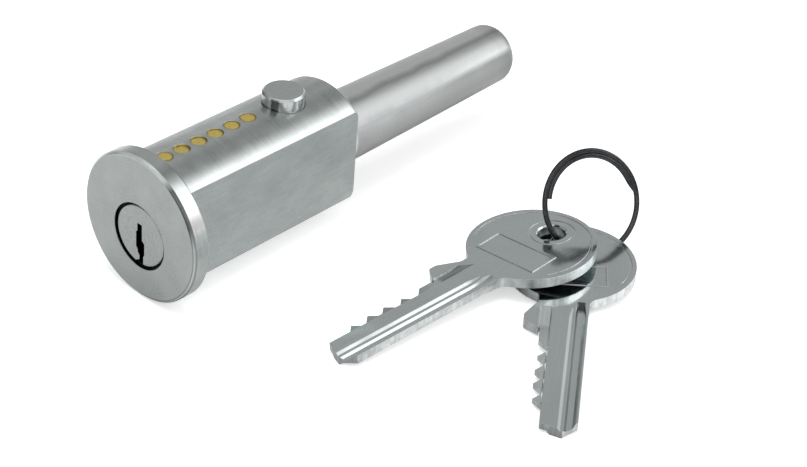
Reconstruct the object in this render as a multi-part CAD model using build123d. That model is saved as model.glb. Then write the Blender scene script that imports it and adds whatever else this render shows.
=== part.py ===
from build123d import *
import os
from math import asin, cos, pi, radians, sin, sqrt

# Cylinder shutter lock with a double-D barrel, a retracting stud, a locating rod and two keys on a ring.
# Millimetres. The lock's axis is X: flange at -X, rod tip at +X. The stud and the pin caps are on top, +Z.
# The origin is on the barrel's axis in the plane of the flange's back face, where the lock seats.

# Shared values
overrun = 1.0
running_gap = 0.05
seat_gap = 0.02
quarter_turn = 90

# Plug, the key cylinder
plug_radius = 6.35
plug_offset = 1.8
plug_recess = 0.3
plug_edge_bevel = 0.3
plug_mouth_gap = 0.38
plug_mouth_depth = 0.9

# Pin chambers, along the barrel's top
chamber_count = 6
chamber_first = 2.3
chamber_pitch = 4.19
pin_radius = 1.42
pin_gap = 0.07
pin_tip_radius = 0.45
pin_tip_height = 0.75
pin_bore_floor = 2.2
driver_length = 4.3
driver_bevel = 0.2
spring_room = 2.44
spring_wire_radius = 0.14
spring_coil_radius = 1.1
spring_quarters = 11
quarters_a_turn = 4
cap_radius = 1.635
cap_thickness = 1.2
cap_recess = 0.45
cap_recess_shares = (0.1, 1, 0.7, 0.6, 0.3, 0.2)

# Flange and barrel
flange_thickness = 3.9
flange_lip = 2.0
flange_front_bevel = 0.5
flange_back_bevel = 0.6
flat_wall = 2.2
barrel_end_round = 1.2

# Cam behind the plug, its two screws and the pin that retains the plug
cam_throw = 1.5
cam_pin_radius = 1.2
cam_pin_reach = 3.2
cam_disc_thickness = 1.2
cam_disc_gap = 0.08
cam_journal_wall = 0.15
cam_wall = 1.0
cam_screw_radius = 0.95
cam_screw_head_radius = 1.7
cam_screw_grip = 3.9
cam_screw_offset = 3.6
retainer_radius = 0.6
retainer_bite = 0.9
retainer_land = 0.2
retainer_reach = 2.0

# Locking stud
stud_radius = 4.2
stud_projection = 2.3
stud_bevel = 0.43
stud_foot = 4.7
stud_slot_back_gap = 0.2
stud_mouth_bevel = 0.3
stud_floor_gap = 0.4
# How far a sine lags behind a straight line over half a turn, as a share of the throw
sine_lag_share = 0.2105

# Locating rod
rod_wall = 1.3
rod_length = 53.1
rod_root_radius = 7.2
rod_tip_radius = 6.4
rod_tip_round = 3.0
rod_flare_radius = 7.7
rod_flare_length = 2.2
rod_rise = 0.55
spigot_radius = 4.5
spigot_length = 6.65

# Keys
key_thickness = 2.0
key_keyway_gap = 0.12
blade_height = 8.7
blade_inset = 0.05
bow_radius = 12.75
bow_distance = 21.9
bow_hole_radius = 2.75
bow_hole_offset = 5.55
bow_hole_bevel = 0.3
bow_hole_lip = 1.45
bow_rim_width = 0.9
bow_rim_height = 0.1
bow_line = 0.4
bow_neck_round = 3.0
bow_tab_round = 0.9
plate_length = 6.9
plate_width = 14.6
plate_bar = 0.6
plate_line = 0.3
plate_height = 0.15
plate_offset = 4.2
plate_turn = 4.0
cut_first_depth = 0.4
cut_step = 0.3
cut_codes = (5, 4, 3, 4, 5, 5)
cut_flat = 1.0
tip_reach = 1.55
tip_point_height = 2.6
tip_bottom_run = 2.3
tip_nose_run = 1.3
tip_corner = 0.4
tab_height = 3.3
tab_lean = 2.0
tab_length = 3.8
tab_corner = 0.7
tab_slope_run = 4.3
tab_foot_height = 0.9
step_overlap = 0.3
stop_relief_radius = 0.45
groove_wheel_radius = 14.0
groove_run = 3.7

# The blade's section. Each point is (share of the blade's height, share of half its thickness).
side_groove_shares = ((0.046, 1), (0.11, 0.1), (0.23, 0.1), (0.28, 0.55), (0.345, 0.55), (0.41, 1))
side_step_shares = ((0.78, 1), (0.81, 0.65), (1, 0.65))
back_step_shares = ((1, -0.35), (0.62, -0.35), (0.56, -1))
back_foot_shares = ((0.29, -1), (0.23, -0.7), (0, -0.7))

# Places of the keys: tip on the floor that the flange stands on, bow hole round the ring's wire and
# raised by rise. Where the wire passes the hole is a share of the play that it has there.
key_1_yaw = -6.35
key_1_rise = 3.9446
key_1_roll = -6.4
key_1_play_shares = (-0.327, 0.147)
key_2_yaw = 34.5
key_2_rise = 1.3256
key_2_roll = -2.2
key_2_play_shares = (0.175, -0.231)

# Split ring through both bows
ring_radius = 10.25
ring_wire_radius = 0.55
ring_inner_step = 0.9
ring_inner_start = 22
ring_inner_end = 166
ring_inner_blend = 18
ring_foot_x = 71.5
ring_foot_y = -50.7
ring_yaw = -23.8
ring_lean = 30.0

# Worked-out sizes of the lock
plug_z = -plug_offset
plug_bore_radius = plug_radius + running_gap
plug_face_x = -flange_thickness + plug_recess
pin_bore_radius = pin_radius + pin_gap
chamber_xs = [chamber_first + chamber_pitch * i for i in range(chamber_count)]
driver_bottom_z = plug_z + plug_bore_radius + seat_gap
driver_top_z = driver_bottom_z + driver_length
cap_bottom_z = driver_top_z + spring_room
barrel_radius = cap_bottom_z + cap_thickness + cap_recess
flange_radius = barrel_radius + flange_lip
floor_z = -flange_radius
flat_half_width = plug_bore_radius + flat_wall
retainer_x = chamber_xs[-1] + pin_bore_radius + retainer_land + running_gap + retainer_radius
plug_shoulder_x = retainer_x - retainer_radius - running_gap
plug_rear_x = retainer_x + retainer_radius + running_gap
retainer_seat_radius = plug_radius - retainer_bite
retainer_y = retainer_seat_radius + running_gap + retainer_radius
cam_rear_x = plug_rear_x + cam_disc_thickness
plug_bore_end_x = cam_rear_x + cam_disc_gap
stud_front_wall_x = plug_bore_end_x + cam_wall
stud_bore_radius = stud_radius + running_gap
stud_x = stud_front_wall_x + stud_bore_radius
cam_journal_radius = cam_throw + cam_pin_radius + cam_journal_wall
stud_travel = cam_throw + cam_throw
stud_top_z = barrel_radius + stud_projection
slot_centre_z = plug_z + cam_throw
slot_half_height = cam_pin_radius + sine_lag_share * cam_throw + running_gap
stud_bottom_z = slot_centre_z - slot_half_height - stud_foot
stud_bore_floor_z = stud_bottom_z - stud_travel - stud_floor_gap
spigot_front_x = stud_x + stud_bore_radius + rod_wall
barrel_length = spigot_front_x + spigot_length
rod_end_x = barrel_length + rod_length

# Worked-out sizes of the keys. A key lies in XY: X from the stop to the tip, Y up to the cuts.
half_thickness = key_thickness / 2
key_bottom_z = plug_z - plug_radius + blade_inset
cut_places = [x - plug_face_x for x in chamber_xs]
cut_roots = [blade_height - cut_first_depth - cut_step * code for code in cut_codes]
blade_length = cut_places[-1] + tip_reach
pin_bottoms_z = [key_bottom_z + root for root in cut_roots]
pin_floor_z = plug_z - pin_bore_floor
pin_drops = [bottom - pin_floor_z for bottom in pin_bottoms_z]
bow_mid = blade_height / 2


def bar_x(radius, start, end, y=0, z=0):
    """Round bar along X from start to end."""
    bar = Cylinder(radius, end - start, align=(Align.CENTER, Align.CENTER, Align.MIN))
    return Pos(start, y, z) * Rot(0, quarter_turn, 0) * bar


def bar_z(radius, bottom, top, x=0, y=0):
    """Round bar along Z from bottom to top."""
    return Pos(x, y, bottom) * Cylinder(radius, top - bottom, align=(Align.CENTER, Align.CENTER, Align.MIN))


def cone_x(start_radius, end_radius, start, end, y=0, z=0):
    """Cone along X from start to end."""
    cone = Cone(start_radius, end_radius, end - start, align=(Align.CENTER, Align.CENTER, Align.MIN))
    return Pos(start, y, z) * Rot(0, quarter_turn, 0) * cone


def cone_z(bottom_radius, top_radius, bottom, top, x=0, y=0):
    """Cone along Z from bottom to top."""
    cone = Cone(bottom_radius, top_radius, top - bottom, align=(Align.CENTER, Align.CENTER, Align.MIN))
    return Pos(x, y, bottom) * cone


def mirrored_pair(place):
    """The same place on both sides of the lock's middle plane."""
    return (-place, place)


def flange():
    """Round head with a bevelled front edge and a broken back edge."""
    disc = bar_x(flange_radius, -flange_thickness, 0)
    disc = chamfer(disc.edges().sort_by(Axis.X)[0], flange_front_bevel)
    return chamfer(disc.edges().sort_by(Axis.X)[-1], flange_back_bevel)


def barrel():
    """Round barrel with a rounded end, milled to two flats."""
    round_bar = bar_x(barrel_radius, 0, barrel_length)
    round_bar = fillet(round_bar.edges().sort_by(Axis.X)[-1], barrel_end_round)
    across = flat_half_width + flat_half_width
    around = flange_radius + flange_radius
    slab = Box(barrel_length, across, around, align=(Align.MIN, Align.CENTER, Align.CENTER))
    return round_bar & slab


def housing_bores():
    """Everything that is drilled or bored out of the housing."""
    face_x = -flange_thickness
    mouth_radius = plug_bore_radius + plug_mouth_gap
    bores = [
        bar_x(plug_bore_radius, face_x - overrun, plug_bore_end_x, z=plug_z),
        bar_x(mouth_radius, face_x - overrun, face_x + plug_mouth_depth, z=plug_z),
        bar_x(cam_journal_radius + running_gap, plug_bore_end_x - overrun, stud_x, z=plug_z),
        bar_x(spigot_radius, spigot_front_x, barrel_length + overrun, z=rod_rise),
        bar_z(stud_bore_radius, stud_bore_floor_z, barrel_radius + overrun, stud_x),
        bar_z(retainer_radius, -flange_radius, plug_z + retainer_reach, retainer_x, retainer_y),
    ]
    mouth_z = barrel_radius - stud_mouth_bevel
    mouth_radius = stud_bore_radius + stud_mouth_bevel
    bores.append(cone_z(stud_bore_radius, mouth_radius, mouth_z, barrel_radius, stud_x))
    for x in chamber_xs:
        bores.append(bar_z(pin_bore_radius, plug_z, cap_bottom_z, x))
        bores.append(bar_z(cap_radius, cap_bottom_z, barrel_radius + overrun, x))
    return bores


def housing():
    """Flange and barrel in one piece, bored for the plug, the pins, the stud and the rod."""
    return (flange() + barrel()) - housing_bores()


def blade_section(foot):
    """The blade's section in XY, X up the blade from foot and Y its side."""
    shares = side_groove_shares + side_step_shares + back_step_shares + back_foot_shares
    points = blade_points(shares)
    return make_face(Polyline((foot, half_thickness), *points, (foot, points[-1][1]), close=True))


def keyway():
    """Slot along the whole plug: the blade's section with clearance, open through the underside."""
    section = offset(blade_section(-overrun), key_keyway_gap, kind=Kind.INTERSECTION)
    plane = Plane(origin=(plug_rear_x + overrun, 0, key_bottom_z), x_dir=(0, 0, 1), z_dir=(-1, 0, 0))
    return extrude(plane * section, plug_rear_x - plug_face_x + overrun + overrun)


def plug():
    """Key cylinder with its keyway, pin bores, screw bores and a turned-down end for the retaining pin."""
    body = bar_x(plug_radius, plug_face_x, plug_shoulder_x, z=plug_z)
    body = chamfer(body.edges().sort_by(Axis.X)[0], plug_edge_bevel)
    body += bar_x(retainer_seat_radius, plug_shoulder_x, plug_rear_x, z=plug_z)
    cuts = [keyway()]
    for x in chamber_xs:
        cuts.append(bar_z(pin_bore_radius, pin_floor_z - running_gap, plug_z + plug_radius + overrun, x))
    for y in mirrored_pair(cam_screw_offset):
        cuts.append(bar_x(cam_screw_radius, plug_rear_x - cam_screw_grip, plug_rear_x + overrun, y, plug_z))
    return body - cuts


def tail_cam():
    """Disc behind the plug, with a journal through the housing's wall and an eccentric pin."""
    pin_start_x = stud_x - stud_bore_radius
    pin_end_x = pin_start_x + cam_pin_reach
    cam = bar_x(plug_radius, plug_rear_x, cam_rear_x, z=plug_z)
    cam += bar_x(cam_journal_radius, cam_rear_x, pin_start_x, z=plug_z)
    cam += bar_x(cam_pin_radius, pin_start_x, pin_end_x, z=plug_z + cam_throw)
    head_depth = cam_screw_head_radius - cam_screw_radius
    for y in mirrored_pair(cam_screw_offset):
        cam -= bar_x(cam_screw_radius, plug_rear_x - overrun, cam_rear_x, y, plug_z)
        cam -= cone_x(cam_screw_radius, cam_screw_head_radius, cam_rear_x - head_depth, cam_rear_x, y, plug_z)
    return cam


def cam_screws():
    """Two countersunk screws, flush with the back of the cam's disc."""
    head_depth = cam_screw_head_radius - cam_screw_radius
    screws = []
    for y in mirrored_pair(cam_screw_offset):
        screw = bar_x(cam_screw_radius, plug_rear_x - cam_screw_grip, cam_rear_x, y, plug_z)
        head = cone_x(cam_screw_radius, cam_screw_head_radius, cam_rear_x - head_depth, cam_rear_x, y, plug_z)
        screws.append(screw + head)
    return screws


def retaining_pin():
    """Cross pin pressed in from below, beside the plug's turned-down end."""
    pin = bar_z(retainer_radius, -flange_radius, plug_z + retainer_reach, retainer_x, retainer_y)
    return pin & bar_x(barrel_radius, 0, barrel_length)


def key_pin(x, bottom):
    """Pin in the plug: tapered tip on the key, top rounded to the plug's surface."""
    tip = cone_z(pin_tip_radius, pin_radius, bottom, bottom + pin_tip_height, x)
    shank = bar_z(pin_radius, bottom + pin_tip_height, plug_z + plug_radius, x)
    return (tip + shank) & bar_x(plug_radius, plug_face_x, plug_rear_x, z=plug_z)


def driver_pin(x):
    """Pin in the housing, standing on the plug."""
    pin = bar_z(pin_radius, driver_bottom_z, driver_top_z, x)
    return chamfer(pin.edges().filter_by(GeomType.CIRCLE), driver_bevel)


def chamber_cap(x, recess_share):
    """Brass cap over a chamber, its top round like the barrel."""
    cap = bar_z(cap_radius, cap_bottom_z, barrel_radius, x)
    return cap & bar_x(barrel_radius - cap_recess * recess_share, 0, barrel_length)


def two_arcs(start, start_way, end, end_way):
    """Two tangent arcs from start to end, which leave and arrive in the ways given."""
    chord = end - start
    both = start_way + end_way
    spread = 2 * (1 - start_way.dot(end_way))
    along = chord.dot(both)
    reach = (sqrt(along * along + spread * chord.dot(chord)) - along) / spread
    middle = (start + end + (start_way - end_way) * reach) / 2
    middle_way = (end - end_way * reach - start - start_way * reach).normalized()
    return [
        Edge.make_tangent_arc(start, start_way, middle),
        Edge.make_tangent_arc(middle, middle_way, end),
    ]


def spring():
    """Open coil spring between a driver and its cap, as quarter turns of two arcs each."""
    low = driver_top_z + seat_gap + spring_wire_radius
    rise = (spring_room - seat_gap - seat_gap - spring_wire_radius - spring_wire_radius) / spring_quarters
    climb = rise / (pi / 2)
    points = []
    ways = []
    for quarter in range(spring_quarters + 1):
        turn = quarter * pi / 2
        out = spring_coil_radius * cos(turn)
        aside = spring_coil_radius * sin(turn)
        points.append(Vector(out, aside, low + rise * quarter))
        ways.append(Vector(-aside, out, climb).normalized())
    arcs = []
    for quarter in range(spring_quarters):
        arcs += two_arcs(points[quarter], ways[quarter], points[quarter + 1], ways[quarter + 1])
    gap = quarters_a_turn * rise - spring_wire_radius - spring_wire_radius
    print("spring: gap between turns", round(gap, 3), "mm")
    wire = Plane(origin=points[0], z_dir=ways[0]) * Circle(spring_wire_radius)
    return sweep(wire, path=Wire(arcs))


def locking_stud():
    """Round bolt with a bevelled top and a level slot for the cam's pin."""
    stud = bar_z(stud_radius, stud_bottom_z, stud_top_z, stud_x)
    stud = chamfer(stud.edges().sort_by(Axis.Z)[-1], stud_bevel)
    front_x = stud_x - stud_bore_radius
    depth = cam_pin_reach + stud_slot_back_gap
    width = stud_radius + stud_radius + overrun
    height = slot_half_height + slot_half_height
    slot = Box(depth + overrun, width, height, align=(Align.MAX, Align.CENTER, Align.CENTER))
    return stud - Pos(front_x + depth, 0, slot_centre_z) * slot


def rod():
    """Tapered locating rod with a flared root, a rounded tip and a spigot in the barrel."""
    outline = Polyline(
        (spigot_front_x, 0),
        (spigot_front_x, spigot_radius),
        (barrel_length, spigot_radius),
        (barrel_length, rod_flare_radius),
        (barrel_length + rod_flare_length, rod_root_radius),
        (rod_end_x, rod_tip_radius),
        (rod_end_x, 0),
        close=True,
    )
    turned = revolve(Plane.XZ * make_face(outline), Axis.X)
    rounded = fillet(turned.edges().filter_by(GeomType.CIRCLE).sort_by(Axis.X)[-1], rod_tip_round)
    return Pos(0, 0, rod_rise) * rounded


def cut_outline(place, root):
    """One cut of the key's edge: a flat root and two sides at 45 degrees, open above the blade."""
    rise = blade_height + overrun - root
    flat = cut_flat / 2
    top = blade_height + overrun
    return make_face(
        Polyline(
            (-place - flat - rise, top),
            (-place - flat, root),
            (-place + flat, root),
            (-place + flat + rise, top),
            close=True,
        )
    )


def key_outline():
    """Side view of a key: X from the tip to the bow, zero at the stop, Y up to the cuts."""
    tab_top = blade_height + tab_height
    foot = blade_height + tab_foot_height
    nose = cut_roots[-1]
    point = (-blade_length, tip_point_height)
    nose_corner = (tip_nose_run - blade_length, nose)
    tab_front = (tab_lean, tab_top)
    tab_back = (tab_length, tab_top)
    blade = Polyline(
        (bow_distance, 0),
        (tip_bottom_run - blade_length, 0),
        point,
        nose_corner,
        (-cut_places[-2], nose),
        (-cut_places[-2], blade_height),
        (0, blade_height),
        tab_front,
        tab_back,
        (tab_length + tab_slope_run, foot),
        (bow_distance, foot),
        close=True,
    )
    face = make_face(blade)
    for corner in (point, nose_corner):
        face = fillet(face.vertices().sort_by_distance(corner)[0], tip_corner)
    face += Pos(bow_distance, bow_mid) * Circle(bow_radius)
    neck = (bow_distance - sqrt(bow_radius**2 - bow_mid**2), 0)
    armpit = (bow_distance - sqrt(bow_radius**2 - (foot - bow_mid) ** 2), foot)
    face = fillet(face.vertices().sort_by_distance(neck)[0], bow_neck_round)
    face = fillet(face.vertices().sort_by_distance(armpit)[0], bow_tab_round)
    for corner in (tab_front, tab_back):
        face = fillet(face.vertices().sort_by_distance(corner)[0], tab_corner)
    face -= Pos(0, blade_height) * Circle(stop_relief_radius)
    face -= [cut_outline(place, root) for place, root in zip(cut_places, cut_roots)]
    return face - Pos(bow_distance + bow_hole_offset, bow_mid) * Circle(bow_hole_radius)


def groove(profile, side):
    """A milled groove: straight along the blade, then run out by the cutter's round edge."""
    outer = side * (half_thickness + overrun)
    face = make_face(Polyline((profile[0][0], outer), *profile, (profile[-1][0], outer), close=True))
    start = Plane(origin=(-blade_length - overrun, 0, 0), x_dir=(0, 1, 0), z_dir=(1, 0, 0))
    end = Plane(origin=(groove_run, 0, 0), x_dir=(0, 1, 0), z_dir=(1, 0, 0))
    straight = extrude(start * face, blade_length + overrun + groove_run)
    hub = Axis((groove_run, 0, side * (half_thickness + groove_wheel_radius)), (0, 1, 0))
    return straight + revolve(end * face, hub)


def blade_points(shares):
    """Points of the blade's section, Y up the blade and Z its side."""
    return [(blade_height * up, half_thickness * side) for up, side in shares]


def key_grooves():
    """The four milled steps and grooves that give the blade its section."""
    over_blade = blade_height + step_overlap
    side_groove = blade_points(side_groove_shares)
    side_step = blade_points(side_step_shares)
    side_step.append((over_blade, side_step[-1][1]))
    back_step = blade_points(back_step_shares[::-1])
    back_step.append((over_blade, back_step[-1][1]))
    back_foot = blade_points(back_foot_shares[::-1])
    back_foot.insert(0, (-bow_radius, back_foot[0][1]))
    return [groove(side_groove, 1), groove(side_step, 1), groove(back_step, -1), groove(back_foot, -1)]


def bow_plate():
    """Raised bare frame on the bow: two bars across the blade, joined by two fine lines."""
    outer = Rectangle(plate_length, plate_width)
    inner = Rectangle(plate_length - plate_bar - plate_bar, plate_width - plate_line - plate_line)
    place = Pos(bow_distance - plate_offset, bow_mid, half_thickness) * Rot(0, 0, plate_turn)
    return extrude(place * (outer - inner), plate_height)


def bow_lines():
    """Fine lines sunk inside the bow's edge, left out towards the blade, and round the hole."""
    outer = bow_radius - bow_rim_width
    ring = Circle(outer) - Circle(outer - bow_line)
    towards_blade = Rectangle(outer + outer, outer + outer, align=(Align.MAX, Align.CENTER))
    ring -= Pos(-bow_hole_offset, 0) * towards_blade
    lip = bow_hole_radius + bow_hole_lip
    ring += Pos(bow_hole_offset, 0) * (Circle(lip + bow_line) - Circle(lip))
    sunk = Pos(bow_distance, bow_mid, half_thickness - bow_rim_height) * ring
    return extrude(sunk, bow_rim_height + overrun)


def hole_bevel():
    """Cone that breaks the edge of the bow's hole on the side with the lines."""
    bottom = half_thickness - bow_hole_bevel
    wide = bow_hole_radius + bow_hole_bevel + overrun
    hole_x = bow_distance + bow_hole_offset
    return cone_z(bow_hole_radius, wide, bottom, half_thickness + overrun, hole_x, bow_mid)


def key():
    """Flat key with a round bow, a stop tab, six cut places and a milled blade."""
    blank = extrude(key_outline(), half_thickness, both=True)
    blank -= key_grooves()
    blank += bow_plate()
    return blank - bow_lines() - hole_bevel()


def ring_ways():
    """The ring's level way across the keys and its leaning way up."""
    across = Vector(cos(radians(ring_yaw)), sin(radians(ring_yaw)), 0)
    level = Vector(-sin(radians(ring_yaw)), cos(radians(ring_yaw)), 0)
    up = Vector(0, 0, 1) * cos(radians(ring_lean)) + level * sin(radians(ring_lean))
    return across, up


def ring_place(height):
    """Where the middle of the ring's wire passes this height over the floor, on the keys' side."""
    across, up = ring_ways()
    share = (height - ring_wire_radius) / (up.Z * ring_radius) - 1
    foot = Vector(ring_foot_x, ring_foot_y, 0)
    return foot + up * (ring_radius + ring_radius * share) - across * ring_radius * sqrt(1 - share * share)


def laid_key(solid, yaw, rise, roll, play_shares):
    """A key with its tip on the floor and the wire through its hole, rolled about its length."""
    tilt = asin(rise / (blade_length + bow_distance + bow_hole_offset))
    ahead = Vector(cos(radians(yaw)), sin(radians(yaw)), 0)
    level = Vector(-sin(radians(yaw)), cos(radians(yaw)), 0)
    along = ahead * cos(tilt) + Vector(0, 0, 1) * sin(tilt)
    up = along.cross(level) * cos(radians(roll)) - level * sin(radians(roll))
    turned = Plane(origin=(0, 0, 0), x_dir=along, z_dir=up).location
    laid = turned * Pos(-bow_distance - bow_hole_offset, -bow_mid, 0) * solid
    height = -laid.bounding_box().min.Z
    wire = ring_place(height)
    play = bow_hole_radius - ring_wire_radius
    return Pos(wire.X + play * play_shares[0], wire.Y + play * play_shares[1], floor_z + height) * laid


def key_ring():
    """Split ring of round wire, standing on the floor, with its doubled stretch inside over the top."""
    across, up = ring_ways()
    foot = Vector(ring_foot_x, ring_foot_y, floor_z + ring_wire_radius)
    inner_radius = ring_radius - ring_inner_step
    inner = CenterArc((0, 0), inner_radius, ring_inner_end, ring_inner_start - ring_inner_end)
    sunk = radians(ring_inner_start - ring_inner_blend)
    sunk_end = Vector(ring_radius * cos(sunk), ring_radius * sin(sunk), 0)
    blend = Edge.make_tangent_arc(inner @ 1, inner % 1, sunk_end)
    section = Plane(origin=inner @ 0, z_dir=inner % 0) * Circle(ring_wire_radius)
    doubled = sweep(section, path=Wire([inner.edge(), blend]))
    ring = Torus(ring_radius, ring_wire_radius) + doubled
    return Plane(origin=foot + up * ring_radius, x_dir=across, z_dir=across.cross(up)).location * ring


def build_parts():
    """Every piece by its node's name."""
    nodes = {
        "housing": housing(),
        "plug": plug(),
        "tail_cam": tail_cam(),
        "cam_screws": Compound(children=cam_screws()),
        "retaining_pin": retaining_pin(),
        "locking_stud": locking_stud(),
        "rod": rod(),
        "key_ring": key_ring(),
    }
    coil = spring()
    for number, x in enumerate(chamber_xs):
        name = str(number + 1)
        nodes["cap_" + name] = chamber_cap(x, cap_recess_shares[number])
        nodes["spring_" + name] = Pos(x, 0, 0) * coil
        nodes["driver_pin_" + name] = driver_pin(x)
        nodes["key_pin_" + name] = key_pin(x, pin_bottoms_z[number])
    blank = key()
    nodes["key_1"] = laid_key(blank, key_1_yaw, key_1_rise, key_1_roll, key_1_play_shares)
    nodes["key_2"] = laid_key(blank, key_2_yaw, key_2_rise, key_2_roll, key_2_play_shares)
    return nodes


os.makedirs("parts", exist_ok=True)
for node, shape in build_parts().items():
    shape.label = node
    export_step(shape, "parts/" + node + ".step")
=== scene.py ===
import math
import bpy
from mathutils import Matrix, Vector

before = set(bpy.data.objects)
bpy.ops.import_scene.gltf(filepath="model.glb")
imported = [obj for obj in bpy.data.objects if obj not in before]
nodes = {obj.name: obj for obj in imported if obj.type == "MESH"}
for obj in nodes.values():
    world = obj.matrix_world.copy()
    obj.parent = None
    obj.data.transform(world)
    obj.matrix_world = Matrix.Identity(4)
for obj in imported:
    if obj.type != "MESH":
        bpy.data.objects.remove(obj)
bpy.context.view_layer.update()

MM = 0.001

# Sizes that the finishes follow, as in the solids, in millimetres
FLANGE_THICKNESS = 3.9
FLANGE_RADIUS = 15.01
BARREL_LENGTH = 44.97
FLAT_HALF_WIDTH = 8.6
PLUG_Z = -1.8
PLUG_RADIUS = 6.35
CHAMBER_FIRST = 2.3
CHAMBER_PITCH = 4.19
CAP_RADIUS = 1.635
STUD_X = 32.77
STUD_RADIUS = 4.2
ROD_RISE = 0.55

# Camera of the photograph
AZIMUTH = math.radians(-50.72)
ELEVATION = math.radians(33.88)
ROLL = math.radians(4.98)
DISTANCE = 434.71 * MM
TARGET = Vector((72.37, 0, -35.7)) * MM
FOCAL_PIXELS = 2000
IMAGE_WIDTH = 807
SENSOR_WIDTH = 36
CLIP_START = 0.01
CLIP_END = 20

# Zones of the finishes and of the painted shade, highlights and reflections, each from where it begins to where
# it is full, in millimetres
FLAT_ZONE = (FLAT_HALF_WIDTH - 0.06, FLAT_HALF_WIDTH - 0.02)
FLAT_START = (0.0, 0.1)
FACE_ZONE = (0.1 - FLANGE_THICKNESS, 0.02 - FLANGE_THICKNESS)
RIM_ZONE = (FLANGE_RADIUS - 0.3, FLANGE_RADIUS - 0.15)
LIP_ZONE = (FLANGE_RADIUS - 0.75, FLANGE_RADIUS - 0.65)
LIP_DEPTH = (0.6 - FLANGE_THICKNESS, 0.5 - FLANGE_THICKNESS)
PLUG_GAP_ZONE = (PLUG_RADIUS + 0.5, PLUG_RADIUS + 0.42)
PLUG_GAP_FRONT = (0.08 - FLANGE_THICKNESS, 0.2 - FLANGE_THICKNESS)
PLUG_GAP_BACK = (0.5, 0.0)
PLUG_SIDE = (0.36 - FLANGE_THICKNESS, 0.5 - FLANGE_THICKNESS)
ROD_ROOT = (BARREL_LENGTH + 3.0, BARREL_LENGTH + 2.4)
STUD_TOP = (STUD_RADIUS - 0.1, STUD_RADIUS - 0.4)
CAP_RIM = (CAP_RADIUS - 0.5, CAP_RADIUS - 0.1)

# On the keys: length from the stop, positive towards the bow, and height from the plain edge up to the cuts
TEETH_HEIGHT = (6.95, 7.05)
TEETH_LENGTH = (0.0, -6.0)
POCKET_HEIGHT = (6.9, 7.1)
POCKET_TOP = (9.25, 9.0)
POCKET_LENGTH = (0.6, 1.6)
POCKET_SLANT = (19.4, 18.8)
POCKET_SLOPE = 1.4
GROOVE_LOW = (0.6, 0.95)
GROOVE_HIGH = (2.4, 2.05)
GROOVE_END_START = (6.2, 7.2)
GROOVE_END_STOP = (9.2, 8.9)

# Painted reflections: levels of tone by the degrees round X, 0 at the top and 90 at -Y; the rim's hold a painted
# glint, the lip's a painted dark arc and a painted glint
BARREL_PAINTED_REFLECTION = ((-50, 1.0), (-40, 1.0), (-33, 0.8), (-25, 0.78), (-18, 1.25), (-8, 1.4), (0, 1.05), (8, 1.1),
                (15, 0.85), (25, 0.83), (32, 0.95), (37, 1.3), (50, 1.4))
RIM_PAINTED_REFLECTION = ((-50, 1.6), (-24, 1.3), (-5, 1.15), (12, 1.15), (20, 0.7), (30, 0.9), (38, 1.3), (48, 1.5),
             (56, 2.1), (66, 2.1), (72, 1.05), (82, 0.8), (92, 0.72), (130, 0.6))
LIP_PAINTED_REFLECTION = ((-40, 1.0), (-10, 1.5), (24, 1.5), (34, 0.25), (66, 0.2), (80, 0.62))
ROD_PAINTED_REFLECTION = ((-46, 0.65), (-24, 0.77), (-12, 0.94), (0, 0.9), (6, 0.86), (13, 0.6), (18, 0.46), (24, 0.55),
             (36, 0.51), (48, 0.57), (54, 0.66), (60, 0.86), (66, 0.83), (72, 0.63), (80, 0.52), (90, 0.44),
             (102, 0.39), (135, 0.38))

# How far the painted reflection bands waver: the barrel's and the rod's in degrees, the stud's and the rod's
# painted root highlight in millimetres
BARREL_BAND_WAVER = 6
ROD_BAND_WAVER = 7
STUD_BAND_WAVER = 0.6
ROD_ROOT_WAVER = 1.2

# The rod's painted reflection bands draw apart along this length, from the first factor to the second
ROD_DRIFT_LENGTH = (60, 90)
ROD_DRIFT = (0.97, 1.10)

# Painted reflection bands across the stud's side: levels of tone from -1 at its left outline seen from the camera
# to 1 at its right one
STUD_PAINTED_REFLECTION = ((-1, 0.7), (-0.68, 0.75), (-0.62, 1.0), (-0.52, 1.0), (-0.46, 0.16), (-0.16, 0.2), (-0.08, 0.85),
              (0.36, 0.95), (0.4, 1.0), (0.6, 1.0), (0.68, 0.8), (1, 0.55))

# Levels of tone along the rod's tip, darker towards its end, and of the keys' painted edge highlight along their
# length, in millimetres
ROD_TIP_LEVELS = ((91, 1.0), (96, 0.78))
KEY_EDGE_HIGHLIGHT_LEVELS = ((-30, 0.66), (-24, 0.7), (-18, 0.85), (2, 0.85), (9, 1.0))

# Painted light on a key's edges: levels of tone by how far they face the picture's right
KEY_SIDE_PAINTED_LIGHT = ((-1, 0.62), (-0.15, 0.52), (0.05, 0.5), (0.25, 0.95), (1, 1.0))

# Where the painted bands give way to the end level, and where the keys' painted edge highlight and the sheen set
# in, by how far the surface faces along X, up or down, or away from the eye
ENDWISE_FACING = (0.8, 0.95)
KEY_EDGE_FACING = (0.55, 0.35)
SHEEN_FACING = (0.25, 0.9)
SHEEN_BLEND = 0.12

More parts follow.
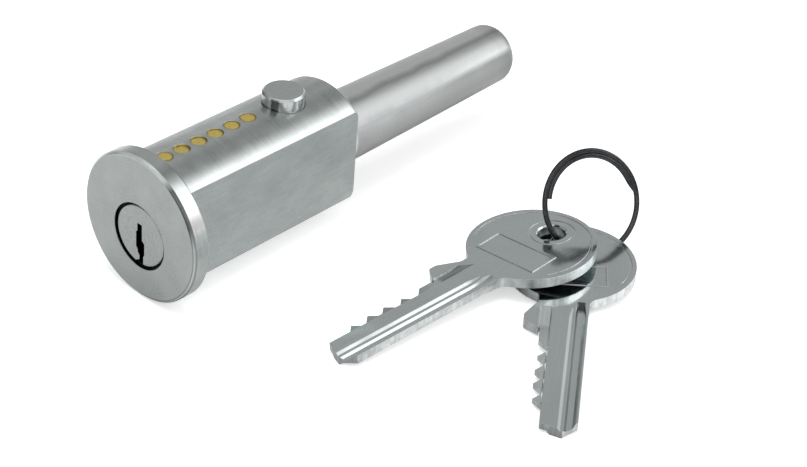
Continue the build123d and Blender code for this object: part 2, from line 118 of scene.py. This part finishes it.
# Tones of the metals, dark and light
BARREL_TONES = ((0.46, 0.495, 0.49), (0.64, 0.68, 0.67))
FACE_TONES = ((0.32, 0.345, 0.342), (0.48, 0.505, 0.50))
FLAT_TONES = ((0.31, 0.338, 0.334), (0.51, 0.54, 0.535))
PLUG_TONES = ((0.33, 0.352, 0.35), (0.44, 0.462, 0.458))
ROD_TONES = ((0.84, 0.87, 0.865), (0.90, 0.93, 0.925))
STUD_TONES = ((0.56, 0.59, 0.585), (0.68, 0.71, 0.705))
BRASS_TONES = ((0.90, 0.66, 0.15), (1.0, 0.86, 0.30))
INNER_STEEL_TONES = ((0.34, 0.35, 0.36), (0.52, 0.53, 0.54))
RING_STEEL_TONES = ((0.035, 0.037, 0.04), (0.10, 0.105, 0.11))
KEY_TONES = ((0.64, 0.69, 0.69), (0.72, 0.77, 0.77))
# The keys' shear-cut edges: speckled, and painted lighter as a highlight
KEY_EDGE_SPECKLE_AND_HIGHLIGHT = ((0.66, 0.69, 0.69), (0.92, 0.95, 0.95))
BARREL_CLOUD = (0.36, 0.40, 0.39)
BARREL_SHEEN = (0.92, 0.93, 0.93)
# Level on the barrel's faces that look along X, in place of the painted reflection bands
BARREL_END = (0.9, 0.9, 0.9)
# Painted shade in the gap round the plug and on the plug's side there
PLUG_GAP_SHADE = (0.02, 0.022, 0.022)
PLUG_SIDE_SHADE = (0.05, 0.053, 0.053)
# The rod's level on faces that look along X, in place of the painted bands; then the painted highlight at its
# root
ROD_END = (0.6, 0.6, 0.6)
ROD_ROOT_HIGHLIGHT = (0.95, 0.95, 0.95)
# Painted shade at the caps' rims
CAP_RIM_SHADE = (0.42, 0.29, 0.09)
KEY_CLOUD = (0.49, 0.53, 0.53)

# Marks of the finishes: cycles a metre along X, Y and Z, then the detail and the roughness of the noise
BARREL_BRUSHED = ((6000, 60, 60), 5, 0.7)
BARREL_COARSE = ((1100, 30, 30), 2, 0.5)
BARREL_BLOTCH = ((260, 160, 160), 3, 0.6)
BARREL_CLOUDS = ((60, 60, 60), 3, 0.6)
FLAT_SCRATCH = ((240, 400, 1300), 5, 0.7)
FLAT_SCRATCH_TURN = (0, 0.9, 0)
FLAT_SMEAR = ((110, 110, 150), 4, 0.6)
FLAT_SMEAR_TURN = (0, 0.7, 0)
FACE_RINGS = ((5200, 1, 1), 3, 0.6)
FINE_RINGS = ((4200, 1, 1), 3, 0.6)
CAP_RINGS = ((4600, 1, 1), 2, 0.5)
BARREL_GRAIN = ((2600, 2600, 2600), 4, 0.6)
FINE_GRAIN = ((1800, 1800, 1800), 4, 0.6)
STUD_GRAIN = ((1500, 1500, 1500), 3, 0.6)
STEEL_GRAIN = ((2500, 2500, 2500), 4, 0.6)
STEEL_CLOUDS = ((250, 250, 250), 2, 0.5)
ROD_BRUSHED = ((6000, 50, 50), 4, 0.65)
ROD_CLOUDS = ((140, 90, 90), 3, 0.55)
KEY_MARKS = ((110, 4200, 1), 4, 0.6)
KEY_GRAIN = ((2400, 2400, 2400), 3, 0.6)
KEY_CLOUDS = ((110, 110, 110), 1, 0.4)
KEY_STRIPES = ((1300, 1300, 90), 3, 0.6)
KEY_SPOTS = ((700, 700, 900), 3, 0.6)

# Shares of the second of two patterns, or of a tone, where they are mixed
BARREL_COARSE_SHARE = 0.12
BARREL_BLOTCH_SHARE = 0.4
FACE_GRAIN_SHARE = 0.45
FACE_BLOTCH_SHARE = 0.35
FLAT_SMEAR_SHARE = 0.6
FLAT_GRAIN_SHARE = 0.25
FINE_GRAIN_SHARE = 0.5
ROD_CLOUD_SHARE = 0.4
ROD_ROOT_HIGHLIGHT_SHARE = 0.55
CAP_GRAIN_SHARE = 0.6
STEEL_CLOUD_SHARE = 0.4
KEY_GRAIN_SHARE = 0.4
KEY_SPOT_SHARE = 0.5
SHEEN_SHARE = 0.6

# Clouds of a darker tone: the pattern's values where they begin and are full, none and the full share of the tone
BARREL_CLOUDING = (0.4, 0.7, 0.0, 0.25)
KEY_CLOUDING = (0.45, 0.7, 0.0, 0.2)

# How far on each side of its middle a pattern goes from dark to light, or from smooth to rough
PATTERN_MIDDLE = 0.5
NICKEL_REACH = 0.16
FINE_REACH = 0.15
BRASS_REACH = 0.12
STEEL_REACH = 0.2
BRUSHED_ROUGH_REACH = 0.25
ROUGH_REACH = 0.3

# The pattern's values between which the keys' edges go from dark to light
KEY_EDGE_PATTERN = (0.42, 0.6)

# Roughness, least and most
BARREL_ROUGHNESS = (0.22, 0.38)
FLAT_ROUGHNESS = (0.34, 0.5)
PLUG_ROUGHNESS = (0.2, 0.36)
ROD_ROUGHNESS = (0.34, 0.42)
STUD_SIDE_ROUGHNESS = (0.06, 0.12)
STUD_TOP_ROUGHNESS = (0.26, 0.38)
BRASS_ROUGHNESS = (0.36, 0.52)
INNER_STEEL_ROUGHNESS = (0.24, 0.4)
RING_STEEL_ROUGHNESS = (0.2, 0.36)
KEY_ROUGHNESS = (0.08, 0.14)
KEY_EDGE_ROUGHNESS = 0.3
FLOOR_ROUGHNESS = 0.9
FLOOR_SPECULAR = 0.1

# Bumps: strength, and depth in millimetres
BARREL_BUMP = (0.16, 0.06)
PLUG_BUMP = (0.1, 0.05)
ROD_BUMP = (0.03, 0.03)
STUD_BUMP = (0.06, 0.04)
BRASS_BUMP = (0.35, 0.1)
STEEL_BUMP = (0.1, 0.04)
KEY_BUMP = (0.08, 0.04)
KEY_WAVES = (1.0, 0.28)

# Radius of the edges that the finish rounds, in millimetres
BARREL_ROUNDING = 0.18
KEY_ROUNDING = 0.16
ROUNDING_SAMPLES = 6

# Keys: where each lies, and painted light and shade set per key: a level on its teeth, tones on the run-out
# beside its tab and a level at its groove's end
KEYS = {
    "key_1": {
        "origin": (35.98, -45.75, -11.52), "along": (0.991, -0.110, 0.071), "across": (0.118, 0.987, -0.111),
        "teeth_light": 0.72, "pocket_light": ((0.26, 0.29, 0.29), (0.48, 0.52, 0.52)), "groove_end_shade": 1.0,
    },
    "key_2": {
        "origin": (46.51, -66.91, -13.17), "along": (0.824, 0.566, 0.024), "across": (-0.565, 0.824, -0.038),
        "teeth_light": 1.15, "pocket_light": ((0.80, 0.84, 0.84), (0.95, 0.99, 0.99)), "groove_end_shade": 0.16,
    },
}

# Stage: a pale floor, a lamp and a surround that is white to the eye
FLOOR_SIZE = 6
FLOOR_PLACE = (0.05, 0, -FLANGE_RADIUS * MM)
FLOOR_TONE = (0.86, 0.86, 0.86, 1)
FLOOR_TO_EYE = 0.5
WHITE = (1, 1, 1, 1)
LAMP_PLACE = (0.0, 0.0, 0.6)
LAMP_AIM = (0.05, -0.02, 0)
LAMP_SIDE = 0.4
LAMP_WATTS = 2.0
SKY = 0.42
SKY_TO_EYE = 1.0

# Patches of the surround: the way to each, its outer and inner angle in degrees and what it adds
PATCHES = (
    ((0.64, -0.49, 0.59), 28, 12, 1.4),
    ((-0.5, -0.3, 0.8), 60, 20, 0.5),
    ((0.10, 0.85, 0.45), 22, 14, -0.25),
    ((1.0, 0.0, 0.1), 30, 12, 0.3),
)


def grey(level):
    return (level, level, level)


class Tree:
    """A material's node tree, with short calls for the nodes that the finishes need."""

    def __init__(self, name):
        self.material = bpy.data.materials.new(name)
        self.material.use_nodes = True
        self.nodes = self.material.node_tree.nodes
        self.links = self.material.node_tree.links
        self.shader = self.nodes["Principled BSDF"]
        self.place = self.nodes.new("ShaderNodeTexCoord").outputs["Object"]
        self.x, self.y, self.z = self.split(self.place)

    def feed(self, socket, value):
        if isinstance(value, bpy.types.NodeSocket):
            self.links.new(value, socket)
        else:
            socket.default_value = value

    def split(self, vector):
        node = self.nodes.new("ShaderNodeSeparateXYZ")
        self.links.new(vector, node.inputs[0])
        return node.outputs

    def join(self, *values):
        """A place from its first values; the rest stay 0."""
        node = self.nodes.new("ShaderNodeCombineXYZ")
        for socket, value in zip(node.inputs, values):
            self.links.new(value, socket)
        return node.outputs[0]

    def math(self, kind, *values):
        node = self.nodes.new("ShaderNodeMath")
        node.operation = kind
        for socket, value in zip(node.inputs, values):
            self.feed(socket, value)
        return node.outputs[0]

    def add(self, first, second):
        return self.math("ADD", first, second)

    def less(self, first, second):
        return self.math("SUBTRACT", first, second)

    def product(self, first, *others):
        for other in others:
            first = self.math("MULTIPLY", first, other)
        return first

    def radius(self, first, second):
        return self.math("SQRT", self.add(self.product(first, first), self.product(second, second)))

    def noise(self, scale, detail, rough, place=None, turn=(0, 0, 0)):
        """Noise from 0 to 1; scale is in cycles a metre along X, Y and Z."""
        mapping = self.nodes.new("ShaderNodeMapping")
        self.links.new(place or self.place, mapping.inputs["Vector"])
        mapping.inputs["Scale"].default_value = scale
        mapping.inputs["Rotation"].default_value = turn
        node = self.nodes.new("ShaderNodeTexNoise")
        self.links.new(mapping.outputs[0], node.inputs["Vector"])
        node.inputs["Scale"].default_value = 1.0
        node.inputs["Detail"].default_value = detail
        node.inputs["Roughness"].default_value = rough
        return node.outputs["Fac"]

    def rings(self, out, marks):
        """Turned rings round an axis, from the distance to it."""
        return self.noise(*marks, place=self.join(out))

    def range(self, value, low, high, to_low=0.0, to_high=1.0, smooth=False):
        node = self.nodes.new("ShaderNodeMapRange")
        node.interpolation_type = "SMOOTHSTEP" if smooth else "LINEAR"
        self.feed(node.inputs["Value"], value)
        ends = {"From Min": low, "From Max": high, "To Min": to_low, "To Max": to_high}
        for key, number in ends.items():
            node.inputs[key].default_value = number
        return node.outputs["Result"]

    def zone(self, value, ends, smooth=False):
        """0 to 1 between two places in millimetres."""
        begin, full = ends
        return self.range(value, begin * MM, full * MM, smooth=smooth)

    def spread(self, pattern, reach, to_low=0.0, to_high=1.0):
        """A pattern's values within the reach of its middle, spread over a new range."""
        return self.range(pattern, PATTERN_MIDDLE - reach, PATTERN_MIDDLE + reach, to_low, to_high)

    def blend(self, kind, share, first, second):
        """Blend of two colours or two values."""
        node = self.nodes.new("ShaderNodeMix")
        colour = any(isinstance(value, tuple) or isinstance(value, bpy.types.NodeSocket) and value.type == "RGBA"
                     for value in (first, second))
        node.data_type = "RGBA" if colour else "FLOAT"
        node.blend_type = kind
        sockets = [socket for socket in node.inputs if socket.enabled]
        for socket, value in zip(sockets, (share, first, second)):
            self.feed(socket, value + (1.0,) if isinstance(value, tuple) else value)
        return [socket for socket in node.outputs if socket.enabled][0]

    def mix(self, share, first, second):
        return self.blend("MIX", share, first, second)

    def times(self, first, second):
        return self.blend("MULTIPLY", 1.0, first, second)

    def toned(self, share, colour, tone):
        """The colour, multiplied by a tone where the share is 1."""
        return self.mix(share, colour, self.times(colour, tone))

    def bump(self, height, size, normal=None):
        strength, depth = size
        node = self.nodes.new("ShaderNodeBump")
        node.inputs["Strength"].default_value = strength
        node.inputs["Distance"].default_value = depth * MM
        self.feed(node.inputs["Height"], height)
        if normal:
            self.links.new(normal, node.inputs["Normal"])
        return node.outputs["Normal"]

    def levels(self, value, stops, unit=1.0):
        """Grey levels at the places that the stops name, in the value's own unit, blended in between."""
        first, last = stops[0][0], stops[-1][0]
        node = self.nodes.new("ShaderNodeValToRGB")
        self.links.new(self.range(value, first * unit, last * unit), node.inputs[0])
        points = node.color_ramp.elements
        while len(points) < len(stops):
            points.new(0.5)
        for point, (place, level) in zip(points, stops):
            point.position = (place - first) / (last - first)
            point.color = grey(level) + (1.0,)
        return node.outputs["Color"]

    def angle(self, rise=0.0):
        """Degrees round X: 0 at the top and 90 at -Y."""
        turned = self.math("ARCTAN2", self.product(self.y, -1.0), self.less(self.z, rise))
        return self.math("DEGREES", turned)

    def normal(self):
        return self.split(self.nodes.new("ShaderNodeTexCoord").outputs["Normal"])

    def upright(self):
        """How far the surface faces up or down, from 0 to 1."""
        return self.math("ABSOLUTE", self.normal()[2])

    def sideways(self):
        """How far the surface faces the picture's right, from -1 to 1."""
        x, y, z = self.normal()
        return self.add(self.product(x, math.cos(AZIMUTH)), self.product(y, math.sin(AZIMUTH)))

    def endwise(self):
        """1 on faces that look along X and 0 on the others."""
        return self.range(self.math("ABSOLUTE", self.normal()[0]), *ENDWISE_FACING)

    def sheen(self):
        """The share of a sheen: none where the surface faces the eye and most at its outline."""
        node = self.nodes.new("ShaderNodeLayerWeight")
        node.inputs["Blend"].default_value = SHEEN_BLEND
        return self.range(node.outputs["Facing"], *SHEEN_FACING, 0.0, SHEEN_SHARE)

    def rounded(self, radius):
        """The normal of a surface whose edges are rounded a little."""
        node = self.nodes.new("ShaderNodeBevel")
        node.samples = ROUNDING_SAMPLES
        node.inputs["Radius"].default_value = radius * MM
        return node.outputs["Normal"]

    def local(self, origin, along, across):
        """Places along and across a piece that lies askew."""
        places = []
        for way in (along, across):
            node = self.nodes.new("ShaderNodeVectorMath")
            node.operation = "DOT_PRODUCT"
            self.links.new(self.place, node.inputs[0])
            node.inputs[1].default_value = way
            start = Vector(origin).dot(Vector(way)) * MM
            places.append(self.less(node.outputs["Value"], start))
        return places

    def finish(self, colour, roughness, normal):
        self.feed(self.shader.inputs["Base Color"], colour)
        self.feed(self.shader.inputs["Roughness"], roughness)
        self.shader.inputs["Metallic"].default_value = 1.0
        self.links.new(normal, self.shader.inputs["Normal"])
        return self.material


def barrel_nickel():
    """Satin nickel: brushed round the barrel, fine and matt on the flats, turned on the flange's face; with
    painted reflection bands round the barrel, a painted glint on the rim, a painted dark arc and glint on the
    flange's front edge, painted shade in the gap round the plug and a sheen at the outline.
    """
    t = Tree("barrel_nickel")
    out = t.radius(t.y, t.z)
    on_flat = t.product(t.zone(t.math("ABSOLUTE", t.y), FLAT_ZONE), t.zone(t.x, FLAT_START))
    on_face = t.zone(t.x, FACE_ZONE)
    on_rim = t.zone(out, RIM_ZONE)
    blotch = t.noise(*BARREL_BLOTCH)
    grain = t.noise(*BARREL_GRAIN)
    smear = t.noise(*FLAT_SMEAR, turn=FLAT_SMEAR_TURN)
    scratch = t.noise(*FLAT_SCRATCH, turn=FLAT_SCRATCH_TURN)
    streak = t.mix(BARREL_COARSE_SHARE, t.noise(*BARREL_BRUSHED), t.noise(*BARREL_COARSE))
    streak = t.mix(BARREL_BLOTCH_SHARE, streak, blotch)
    face = t.mix(FACE_GRAIN_SHARE, t.rings(out, FACE_RINGS), grain)
    face = t.mix(FACE_BLOTCH_SHARE, face, blotch)
    side = t.mix(FLAT_GRAIN_SHARE, t.mix(FLAT_SMEAR_SHARE, scratch, smear), grain)
    pattern = t.mix(on_face, t.mix(on_flat, streak, side), face)
    light = t.spread(pattern, NICKEL_REACH)
    # Painted reflection bands round the barrel and a painted glint on the rim; a fixed level on faces that look
    # along X
    angle = t.add(t.angle(), t.range(smear, 0.0, 1.0, -BARREL_BAND_WAVER, BARREL_BAND_WAVER))
    bands = t.mix(on_rim, t.levels(angle, BARREL_PAINTED_REFLECTION), t.levels(angle, RIM_PAINTED_REFLECTION))
    round_tone = t.times(t.mix(light, *BARREL_TONES), t.mix(t.endwise(), bands, BARREL_END))
    colour = t.mix(on_flat, round_tone, t.mix(light, *FLAT_TONES))
    colour = t.mix(on_face, colour, t.mix(light, *FACE_TONES))
    colour = t.mix(t.range(t.noise(*BARREL_CLOUDS), *BARREL_CLOUDING), colour, BARREL_CLOUD)
    colour = t.mix(t.sheen(), colour, BARREL_SHEEN)
    # Painted shade in the gap round the plug
    from_plug = t.radius(t.y, t.less(t.z, PLUG_Z * MM))
    gap = t.product(t.zone(from_plug, PLUG_GAP_ZONE), t.zone(t.x, PLUG_GAP_FRONT), t.zone(t.x, PLUG_GAP_BACK))
    colour = t.mix(gap, colour, PLUG_GAP_SHADE)
    # Painted dark arc and painted glint on the flange's front edge
    on_lip = t.product(t.zone(out, LIP_ZONE), t.zone(t.x, LIP_DEPTH))
    colour = t.toned(on_lip, colour, t.levels(angle, LIP_PAINTED_REFLECTION))
    roughness = t.mix(on_flat, t.spread(pattern, BRUSHED_ROUGH_REACH, *BARREL_ROUGHNESS),
                      t.spread(pattern, BRUSHED_ROUGH_REACH, *FLAT_ROUGHNESS))
    return t.finish(colour, roughness, t.bump(pattern, BARREL_BUMP, t.rounded(BARREL_ROUNDING)))


def plug_nickel():
    """Nickel plug: turned face, a little darker than the flange, and painted shade on its side in the gap."""
    t = Tree("plug_nickel")
    out = t.radius(t.y, t.less(t.z, PLUG_Z * MM))
    pattern = t.mix(FINE_GRAIN_SHARE, t.rings(out, FINE_RINGS), t.noise(*FINE_GRAIN))
    colour = t.mix(t.spread(pattern, FINE_REACH), *PLUG_TONES)
    # Painted shade on the plug's side in the gap
    colour = t.mix(t.zone(t.x, PLUG_SIDE), colour, PLUG_SIDE_SHADE)
    return t.finish(colour, t.spread(pattern, ROUGH_REACH, *PLUG_ROUGHNESS), t.bump(pattern, PLUG_BUMP))


def rod_nickel():
    """Centreless-ground rod: smooth nickel with very fine marks round it, painted reflection bands round it, a
    painted highlight at its root, and darker towards the tip.
    """
    t = Tree("rod_nickel")
    brushed = t.noise(*ROD_BRUSHED)
    cloud = t.noise(*ROD_CLOUDS)
    pattern = t.mix(ROD_CLOUD_SHARE, brushed, cloud)
    # Painted reflection bands round the rod, drawing apart along it; a fixed level on faces that look along X
    begin, end = ROD_DRIFT_LENGTH
    drift = t.range(t.x, begin * MM, end * MM, *ROD_DRIFT)
    waver = t.range(cloud, 0.0, 1.0, -ROD_BAND_WAVER, ROD_BAND_WAVER)
    angle = t.add(t.product(t.angle(ROD_RISE * MM), drift), waver)
    bands = t.mix(t.endwise(), t.levels(angle, ROD_PAINTED_REFLECTION), ROD_END)
    colour = t.times(t.mix(t.spread(pattern, NICKEL_REACH), *ROD_TONES), bands)
    colour = t.times(colour, t.levels(t.x, ROD_TIP_LEVELS, MM))
    # Painted highlight at the rod's root
    at_root = t.zone(t.add(t.x, t.product(cloud, ROD_ROOT_WAVER * MM)), ROD_ROOT)
    colour = t.mix(t.product(at_root, ROD_ROOT_HIGHLIGHT_SHARE), colour, ROD_ROOT_HIGHLIGHT)
    return t.finish(colour, t.spread(pattern, BRUSHED_ROUGH_REACH, *ROD_ROUGHNESS), t.bump(brushed, ROD_BUMP))


def stud_nickel():
    """Stud: mirror-like side with painted reflection bands across it, satin top with turned marks."""
    t = Tree("stud_nickel")
    along = t.less(t.x, STUD_X * MM)
    out = t.radius(along, t.y)
    on_top = t.zone(out, STUD_TOP)
    grain = t.noise(*STUD_GRAIN)
    pattern = t.mix(FINE_GRAIN_SHARE, t.rings(out, FINE_RINGS), grain)
    colour = t.mix(t.spread(pattern, FINE_REACH), *STUD_TONES)
    # Painted reflection bands across the stud's side
    across = t.add(t.product(along, math.cos(AZIMUTH)), t.product(t.y, math.sin(AZIMUTH)))
    across = t.add(across, t.product(t.less(grain, PATTERN_MIDDLE), STUD_BAND_WAVER * MM))
    bands = t.levels(across, STUD_PAINTED_REFLECTION, STUD_RADIUS * MM)
    colour = t.mix(on_top, t.times(colour, bands), colour)
    roughness = t.mix(on_top, t.spread(grain, ROUGH_REACH, *STUD_SIDE_ROUGHNESS),
                      t.spread(pattern, ROUGH_REACH, *STUD_TOP_ROUGHNESS))
    return t.finish(colour, roughness, t.bump(pattern, STUD_BUMP))


def brass(name, caps):
    """Turned brass; on the caps with rings round each centre and painted shade at the rim."""
    t = Tree(name)
    pattern = t.noise(*FINE_GRAIN)
    rim = 0.0
    if caps:
        half_pitch = CHAMBER_PITCH / 2
        along = t.math("WRAP", t.x, (CHAMBER_FIRST + half_pitch) * MM, (CHAMBER_FIRST - half_pitch) * MM)
        out = t.radius(t.less(along, CHAMBER_FIRST * MM), t.y)
        pattern = t.mix(CAP_GRAIN_SHARE, t.rings(out, CAP_RINGS), pattern)
        rim = t.zone(out, CAP_RIM, smooth=True)
    # Painted shade at each cap's rim
    colour = t.mix(rim, t.mix(t.spread(pattern, BRASS_REACH), *BRASS_TONES), CAP_RIM_SHADE)
    return t.finish(colour, t.spread(pattern, ROUGH_REACH, *BRASS_ROUGHNESS), t.bump(pattern, BRASS_BUMP))


def steel(name, tones, roughness):
    """Plain steel with fine drawn marks."""
    t = Tree(name)
    grain = t.noise(*STEEL_GRAIN)
    pattern = t.mix(STEEL_CLOUD_SHARE, grain, t.noise(*STEEL_CLOUDS))
    colour = t.mix(t.spread(pattern, STEEL_REACH), *tones)
    return t.finish(colour, t.spread(pattern, ROUGH_REACH, *roughness), t.bump(grain, STEEL_BUMP))


def key_nickel(name, origin, along, across, teeth_light, pocket_light, groove_end_shade):
    """Polished nickel key: faint long marks, soft waves, speckled shear-cut edges painted lighter as a highlight
    and by the way they face, and painted light and shade, set per key, on the cuts, on the brushed run-out beside
    the tab and at the groove's end.
    """
    t = Tree(name)
    length, height = t.local(origin, along, across)
    marks = t.noise(*KEY_MARKS, place=t.join(length, height))
    cloud = t.noise(*KEY_CLOUDS)
    pattern = t.mix(KEY_GRAIN_SHARE, marks, t.noise(*KEY_GRAIN))
    colour = t.mix(t.spread(pattern, NICKEL_REACH), *KEY_TONES)
    colour = t.mix(t.range(cloud, *KEY_CLOUDING), colour, KEY_CLOUD)
    # Painted light and shade on the cuts, a level set per key
    on_teeth = t.product(t.zone(height, TEETH_HEIGHT), t.zone(length, TEETH_LENGTH))
    colour = t.toned(on_teeth, colour, grey(teeth_light))
    # Painted shade and light on the brushed run-out beside the tab, in tones set per key
    slant = t.add(t.product(height, POCKET_SLOPE), length)
    in_pocket = t.product(t.zone(height, POCKET_HEIGHT), t.zone(length, POCKET_LENGTH),
                          t.zone(slant, POCKET_SLANT), t.zone(height, POCKET_TOP))
    colour = t.mix(in_pocket, colour, t.mix(t.spread(marks, FINE_REACH), *pocket_light))
    # Painted shade at the groove's end, a level set per key
    at_end = t.product(t.zone(height, GROOVE_LOW), t.zone(height, GROOVE_HIGH),
                       t.zone(length, GROOVE_END_START), t.zone(length, GROOVE_END_STOP))
    colour = t.toned(at_end, colour, grey(groove_end_shade))
    # Shear-cut edges: speckled, painted lighter as a highlight, with painted light by the way they face, and
    # dimmer towards the tip
    sheared_with_highlight = t.mix(KEY_SPOT_SHARE, t.noise(*KEY_STRIPES), t.noise(*KEY_SPOTS))
    sheared_with_highlight = t.mix(t.range(sheared_with_highlight, *KEY_EDGE_PATTERN), *KEY_EDGE_SPECKLE_AND_HIGHLIGHT)
    sheared_with_highlight = t.times(sheared_with_highlight, t.levels(t.sideways(), KEY_SIDE_PAINTED_LIGHT))
    sheared_with_highlight = t.times(sheared_with_highlight, t.levels(length, KEY_EDGE_HIGHLIGHT_LEVELS, MM))
    on_edge = t.range(t.upright(), *KEY_EDGE_FACING)
    colour = t.mix(on_edge, colour, sheared_with_highlight)
    roughness = t.mix(on_edge, t.spread(pattern, ROUGH_REACH, *KEY_ROUGHNESS), KEY_EDGE_ROUGHNESS)
    waves = t.bump(cloud, KEY_WAVES, t.rounded(KEY_ROUNDING))
    return t.finish(colour, roughness, t.bump(pattern, KEY_BUMP, waves))


def dress(names, material):
    for name in names:
        obj = nodes[name]
        if not obj.material_slots:
            obj.data.materials.append(material)
        for slot in obj.material_slots:
            slot.material = material


def dress_all():
    """Every CAD node in its own finish."""
    chambers = range(1, 7)
    caps = [f"cap_{n}" for n in chambers]
    pins = [f"{kind}_pin_{n}" for kind in ("driver", "key") for n in chambers]
    springs = [f"spring_{n}" for n in chambers]
    dress(["housing"], barrel_nickel())
    dress(["plug"], plug_nickel())
    dress(["rod"], rod_nickel())
    dress(["locking_stud"], stud_nickel())
    dress(caps, brass("cap_brass", True))
    dress(pins, brass("pin_brass", False))
    dress(["tail_cam", "cam_screws", "retaining_pin"] + springs,
          steel("inner_steel", INNER_STEEL_TONES, INNER_STEEL_ROUGHNESS))
    dress(["key_ring"], steel("ring_steel", RING_STEEL_TONES, RING_STEEL_ROUGHNESS))
    for key, finish in KEYS.items():
        dress([key], key_nickel(key.replace("key", "key_nickel"), **finish))


def seen_by_eye(tree, strength):
    """Strength for rays straight from the camera and nothing for the rest, so that no light is added."""
    path = tree.nodes.new("ShaderNodeLightPath")
    times = tree.nodes.new("ShaderNodeMath")
    times.operation = "MULTIPLY"
    times.inputs[1].default_value = strength
    tree.links.new(path.outputs["Is Camera Ray"], times.inputs[0])
    return times.outputs[0]


def floor():
    bpy.ops.mesh.primitive_plane_add(size=FLOOR_SIZE, location=FLOOR_PLACE)
    plane = bpy.context.object
    plane.name = "floor"
    material = bpy.data.materials.new("floor_white")
    material.use_nodes = True
    tree = material.node_tree
    shader = tree.nodes["Principled BSDF"]
    shader.inputs["Base Color"].default_value = FLOOR_TONE
    shader.inputs["Roughness"].default_value = FLOOR_ROUGHNESS
    shader.inputs["Specular IOR Level"].default_value = FLOOR_SPECULAR
    shader.inputs["Emission Color"].default_value = WHITE
    tree.links.new(seen_by_eye(tree, FLOOR_TO_EYE), shader.inputs["Emission Strength"])
    plane.data.materials.append(material)


def patch(tree, ways, way, outer, inner, amount):
    """A round patch of the surround, full inside its inner angle and gone outside its outer one."""
    dot = tree.nodes.new("ShaderNodeVectorMath")
    dot.operation = "DOT_PRODUCT"
    tree.links.new(ways, dot.inputs[0])
    dot.inputs[1].default_value = Vector(way).normalized()
    spread = tree.nodes.new("ShaderNodeMapRange")
    spread.interpolation_type = "SMOOTHSTEP"
    tree.links.new(dot.outputs["Value"], spread.inputs["Value"])
    spread.inputs["From Min"].default_value = math.cos(math.radians(outer))
    spread.inputs["From Max"].default_value = math.cos(math.radians(inner))
    spread.inputs["To Min"].default_value = 0.0
    spread.inputs["To Max"].default_value = amount
    return spread.outputs["Result"]


def surround():
    """White to the eye; to the metal a dim room with a bright wall to the right and a dark far side."""
    world = bpy.data.worlds.new("surround")
    bpy.context.scene.world = world
    world.use_nodes = True
    tree = world.node_tree
    ways = tree.nodes.new("ShaderNodeTexCoord").outputs["Generated"]

    def sum_node(total):
        node = tree.nodes.new("ShaderNodeMath")
        node.operation = "ADD"
        tree.links.new(total, node.inputs[0])
        return node

    total = seen_by_eye(tree, SKY_TO_EYE)
    for shape in PATCHES:
        node = sum_node(total)
        tree.links.new(patch(tree, ways, *shape), node.inputs[1])
        total = node.outputs[0]
    node = sum_node(total)
    node.inputs[1].default_value = SKY
    back = tree.nodes["Background"]
    back.inputs["Color"].default_value = WHITE
    tree.links.new(node.outputs[0], back.inputs["Strength"])


def lamp():
    """A soft lamp overhead, left out of the metal's reflections, so that level faces don't clip to white."""
    data = bpy.data.lights.new("top", "AREA")
    data.shape = "RECTANGLE"
    data.size = LAMP_SIDE
    data.size_y = LAMP_SIDE
    data.energy = LAMP_WATTS
    obj = bpy.data.objects.new("top", data)
    bpy.context.scene.collection.objects.link(obj)
    obj.visible_glossy = False
    obj.location = LAMP_PLACE
    obj.rotation_euler = (Vector(LAMP_AIM) - Vector(LAMP_PLACE)).to_track_quat("-Z", "Y").to_euler()


def camera():
    """The camera as the photograph was taken, with its slight roll."""
    back = Vector((math.sin(AZIMUTH) * math.cos(ELEVATION), -math.cos(AZIMUTH) * math.cos(ELEVATION),
                   math.sin(ELEVATION)))
    level = Vector((math.cos(AZIMUTH), math.sin(AZIMUTH), 0))
    upward = back.cross(level)
    right = level * math.cos(ROLL) + upward * math.sin(ROLL)
    up = upward * math.cos(ROLL) - level * math.sin(ROLL)
    data = bpy.data.cameras.new("camera")
    data.sensor_width = SENSOR_WIDTH
    data.lens = FOCAL_PIXELS / IMAGE_WIDTH * SENSOR_WIDTH
    data.clip_start = CLIP_START
    data.clip_end = CLIP_END
    obj = bpy.data.objects.new("camera", data)
    bpy.context.scene.collection.objects.link(obj)
    turn = Matrix((right, up, back)).transposed().to_4x4()
    obj.matrix_world = Matrix.Translation(TARGET + back * DISTANCE) @ turn
    return obj


dress_all()
floor()
surround()
lamp()
bpy.context.scene.camera = camera()
bpy.context.scene.view_settings.view_transform = "Standard"
